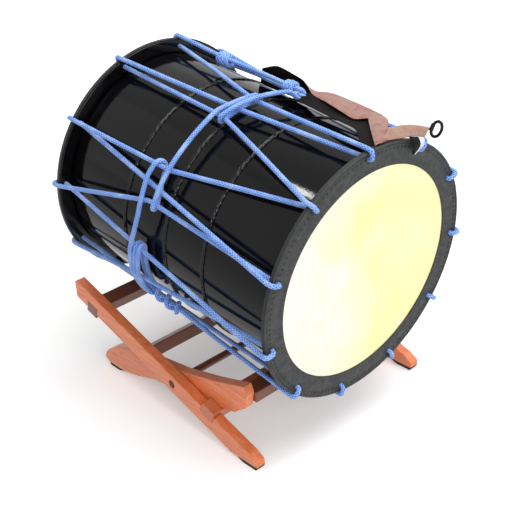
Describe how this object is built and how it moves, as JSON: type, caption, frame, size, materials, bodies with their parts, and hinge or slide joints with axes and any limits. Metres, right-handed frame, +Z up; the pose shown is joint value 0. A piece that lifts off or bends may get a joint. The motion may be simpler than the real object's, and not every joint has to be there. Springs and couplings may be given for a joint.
{
  "type": "okedo drum on folding stand",
  "caption": "Long rope-laced barrel drum with two hide heads, a carrying strap and a wire hook, lying on a low wooden stand that folds like scissors.",
  "frame": {"origin": "on the floor, under the middle of the object's box", "axes": "+Z up, +X across the stand to the drum's right, +Y from the drum's front head to its higher rear head"},
  "size_m": [0.497, 0.6566, 0.6396],
  "materials": {
    "lacquer": "gloss black lacquer on wood",
    "rawhide": "cream rawhide, slightly sheened",
    "iron": "plain iron rod",
    "band_leather": "black grained leather",
    "rope": "blue laid rope",
    "strap_suede": "brown suede with a black reverse",
    "black_metal": "black coated wire and plate",
    "wood": "red-brown varnished wood",
    "steel": "zinc plated",
    "rubber": "matt black"
  },
  "bodies": {
    "outer_frame": {"long_leg_left": "wood", "long_leg_right": "wood", "stop_rail": "wood", "rear_rail": "wood", "pivot_bolt_left": "steel", "pivot_bolt_right": "steel", "washer_left": "steel", "washer_right": "steel", "front_pad_left": "rubber", "front_pad_right": "rubber"},
    "inner_frame": {"inner_leg_left": "wood", "inner_leg_right": "wood", "drum_rail": "wood", "brace_rail": "wood", "pivot_dowel": "wood", "rear_pad_left": "rubber", "rear_pad_right": "rubber"},
    "drum": {"body_shell": "lacquer", "hoop_front": "lacquer", "hoop_middle": "lacquer", "hoop_rear": "lacquer", "head_front": "rawhide", "head_rear": "rawhide", "head_ring_front": "iron", "head_ring_rear": "iron", "band_front": "band_leather", "band_rear": "band_leather", "lacing_rope": "rope", "tension_rope": "rope", "strap": "strap_suede", "strap_tab": "strap_suede", "hook_keeper": "black_metal", "strap_clip": "black_metal"},
    "hook": {"hook_ring": "black_metal"}
  },
  "joints": [
    {"name": "drum_lift", "type": "slide", "parent": "outer_frame", "child": "drum", "axis": [0, 0, 1], "range_m": [0, 0.55]},
    {"name": "stand_fold", "type": "hinge", "parent": "outer_frame", "child": "inner_frame", "pos_m": [0.00006, 0.02238, 0.0787], "axis": [1, 0, 0], "range_deg": [-130, 0]},
    {"name": "hook_swing", "type": "hinge", "parent": "drum", "child": "hook", "pos_m": [0.12464, -0.30802, 0.57102], "axis": [0.4648, -0.0994, 0.8798], "range_deg": [-60, 60]}
  ],
  "couplings": [
    {"joint": "stand_fold", "follows": "drum_lift", "rad_per_m": -4.12}
  ]
}
